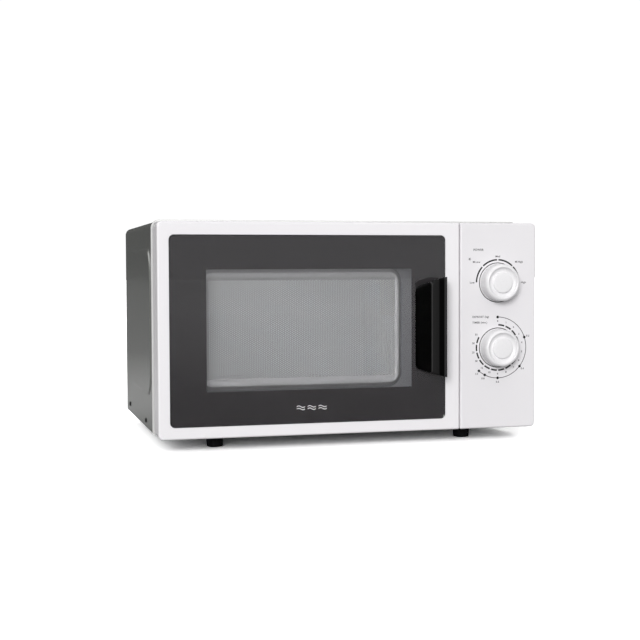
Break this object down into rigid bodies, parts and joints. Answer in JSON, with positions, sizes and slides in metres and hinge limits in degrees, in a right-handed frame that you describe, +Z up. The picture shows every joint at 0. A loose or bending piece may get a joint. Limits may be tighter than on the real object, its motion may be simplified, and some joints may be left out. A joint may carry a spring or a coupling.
{
  "type": "microwave oven",
  "caption": "Worktop microwave oven with a side-hung glass door, hooked pull handle, turn-knob power and timer dials, and a rotating glass tray.",
  "frame": {"origin": "centre of the overall footprint, on the surface that the feet stand on", "axes": "+Z up, the front (door and dials) faces -Y, +X to the user's right"},
  "size_m": [0.4396, 0.357, 0.2559],
  "materials": {
    "white_plastic": "semi-gloss moulded",
    "silver_paint": "metallic silver-grey powder coat",
    "zinc_steel": "galvanised sheet",
    "cavity_paint": "light grey stoved enamel",
    "screen_steel": "grey enamel on pierced sheet",
    "black_gloss": "piano black",
    "black_plastic": "fine grain moulded",
    "grey_plastic": "moulded",
    "cream_plastic": "moulded nylon",
    "black_print": "fired enamel behind glass",
    "door_glass": "clear toughened",
    "clear_film": "polyester film",
    "tray_glass": "pressed clear",
    "mica": "pressed mica sheet",
    "rubber": "matte",
    "screw_steel": "zinc plated",
    "lamination": "varnished laminations",
    "winding": "varnished copper winding",
    "aluminium": "pressed",
    "board": "phenolic board with components",
    "bell_steel": "nickel plated",
    "lamp": "clear lamp glass"
  },
  "bodies": {
    "case": {"cabinet": "silver_paint", "back_panel": "zinc_steel", "base_plate": "zinc_steel", "feet": "rubber", "rear_spacers": "black_plastic", "cord_gland": "rubber", "case_screws": "screw_steel", "cavity": "cavity_paint", "front_plate": "cavity_paint", "waveguide_cover": "mica", "control_panel": "white_plastic", "power_selector": "cream_plastic", "timer_unit": "cream_plastic", "timer_bell": "bell_steel", "lower_hinge": "zinc_steel", "upper_hinge": "zinc_steel", "latch_board": "grey_plastic", "door_switches": "black_plastic", "waveguide": "zinc_steel", "magnetron": "zinc_steel", "magnetron_fins": "aluminium", "transformer_core": "lamination", "transformer_windings": "winding", "capacitor": "aluminium", "capacitor_clamp": "zinc_steel", "diode": "black_plastic", "fan_shroud": "grey_plastic", "fan_motor": "lamination", "air_duct": "cream_plastic", "turntable_motor": "zinc_steel", "oven_lamp": "lamp", "lamp_socket": "cream_plastic", "thermal_cutouts": "black_plastic", "filter_board": "board"},
    "door": {"door_frame": "white_plastic", "door_glass": "door_glass", "glass_print": "black_print", "door_screen": "screen_steel", "inner_film": "clear_film", "choke_cover": "black_plastic", "door_handle": "black_gloss", "handle_screws": "screw_steel", "latch_spring": "screw_steel"},
    "latch": {"latch_hooks": "cream_plastic"},
    "power_dial": {"power_knob": "white_plastic", "power_shaft": "cream_plastic"},
    "timer_dial": {"timer_knob": "white_plastic", "timer_shaft": "cream_plastic"},
    "turntable": {"coupler": "cream_plastic"},
    "tray": {"glass_tray": "tray_glass"},
    "roller": {"roller_ring": "cream_plastic"},
    "wheel_1": {"roller_wheel_1": "cream_plastic"},
    "wheel_2": {"roller_wheel_2": "cream_plastic"},
    "wheel_3": {"roller_wheel_3": "cream_plastic"},
    "fan": {"fan_blade": "cream_plastic"},
    "interlock": {"interlock_lever": "cream_plastic"},
    "primary_button": {"primary_plunger": "cream_plastic"},
    "secondary_button": {"secondary_plunger": "cream_plastic"},
    "monitor_button": {"monitor_plunger": "cream_plastic"}
  },
  "joints": [
    {"name": "door_swing", "type": "hinge", "parent": "case", "child": "door", "pos_m": [-0.21075, -0.1305, 0.134], "axis": [0, 0, -1], "range_deg": [0, 105]},
    {"name": "latch_lift", "type": "slide", "parent": "door", "child": "latch", "axis": [0, 0, 1], "range_m": [0, 0.004], "stiffness_N_per_m": 300, "springref_m": -0.004, "deforming": ["latch_spring"]},
    {"name": "power_turn", "type": "hinge", "parent": "case", "child": "power_dial", "pos_m": [0.17275, -0.1505, 0.184], "axis": [0, 1, 0], "range_deg": [0, 180]},
    {"name": "timer_turn", "type": "hinge", "parent": "case", "child": "timer_dial", "pos_m": [0.17275, -0.1505, 0.109], "axis": [0, 1, 0], "range_deg": [0, 300]},
    {"name": "turntable_spin", "type": "hinge", "parent": "case", "child": "turntable", "pos_m": [-0.04675, 0.0266, 0.04], "axis": [0, 0, 1], "continuous": true},
    {"name": "tray_lift", "type": "slide", "parent": "turntable", "child": "tray", "axis": [0, 0, 1], "range_m": [0, 0.03]},
    {"name": "roller_spin", "type": "hinge", "parent": "case", "child": "roller", "pos_m": [-0.04675, 0.0266, 0.04], "axis": [0, 0, 1], "continuous": true},
    {"name": "fan_spin", "type": "hinge", "parent": "case", "child": "fan", "pos_m": [0.17, 0.1405, 0.16], "axis": [0, 1, 0], "continuous": true},
    {"name": "interlock_press", "type": "hinge", "parent": "case", "child": "interlock", "pos_m": [0.124, -0.0907, 0.07], "axis": [-1, 0, 0], "range_deg": [0, 3], "stiffness_Nm_per_rad": 0.05, "springref_deg": -5.73},
    {"name": "primary_press", "type": "slide", "parent": "case", "child": "primary_button", "axis": [0, 1, 0], "range_m": [0, 0.001], "stiffness_N_per_m": 300, "springref_m": -0.0015},
    {"name": "secondary_press", "type": "slide", "parent": "case", "child": "secondary_button", "axis": [0, 1, 0], "range_m": [0, 0.001]},
    {"name": "monitor_press", "type": "slide", "parent": "case", "child": "monitor_button", "axis": [0, 1, 0], "range_m": [0, 0.001]},
    {"name": "wheel_1_spin", "type": "hinge", "parent": "roller", "child": "wheel_1", "pos_m": [-0.04675, 0.1181, 0.0395], "axis": [0, 1, 0], "continuous": true},
    {"name": "wheel_2_spin", "type": "hinge", "parent": "roller", "child": "wheel_2", "pos_m": [-0.12599, -0.01915, 0.0395], "axis": [-0.866, -0.5, 0], "continuous": true},
    {"name": "wheel_3_spin", "type": "hinge", "parent": "roller", "child": "wheel_3", "pos_m": [0.03249, -0.01915, 0.0395], "axis": [0.866, -0.5, 0], "continuous": true}
  ],
  "couplings": [
    {"joint": "roller_spin", "follows": "turntable_spin", "ratio": 0.5},
    {"joint": "wheel_1_spin", "follows": "turntable_spin", "ratio": -5.8654},
    {"joint": "wheel_2_spin", "follows": "turntable_spin", "ratio": -5.8654},
    {"joint": "wheel_3_spin", "follows": "turntable_spin", "ratio": -5.8654},
    {"joint": "secondary_press", "follows": "interlock_press", "m_per_rad": 0.016},
    {"joint": "monitor_press", "follows": "interlock_press", "m_per_rad": 0.016}
  ]
}
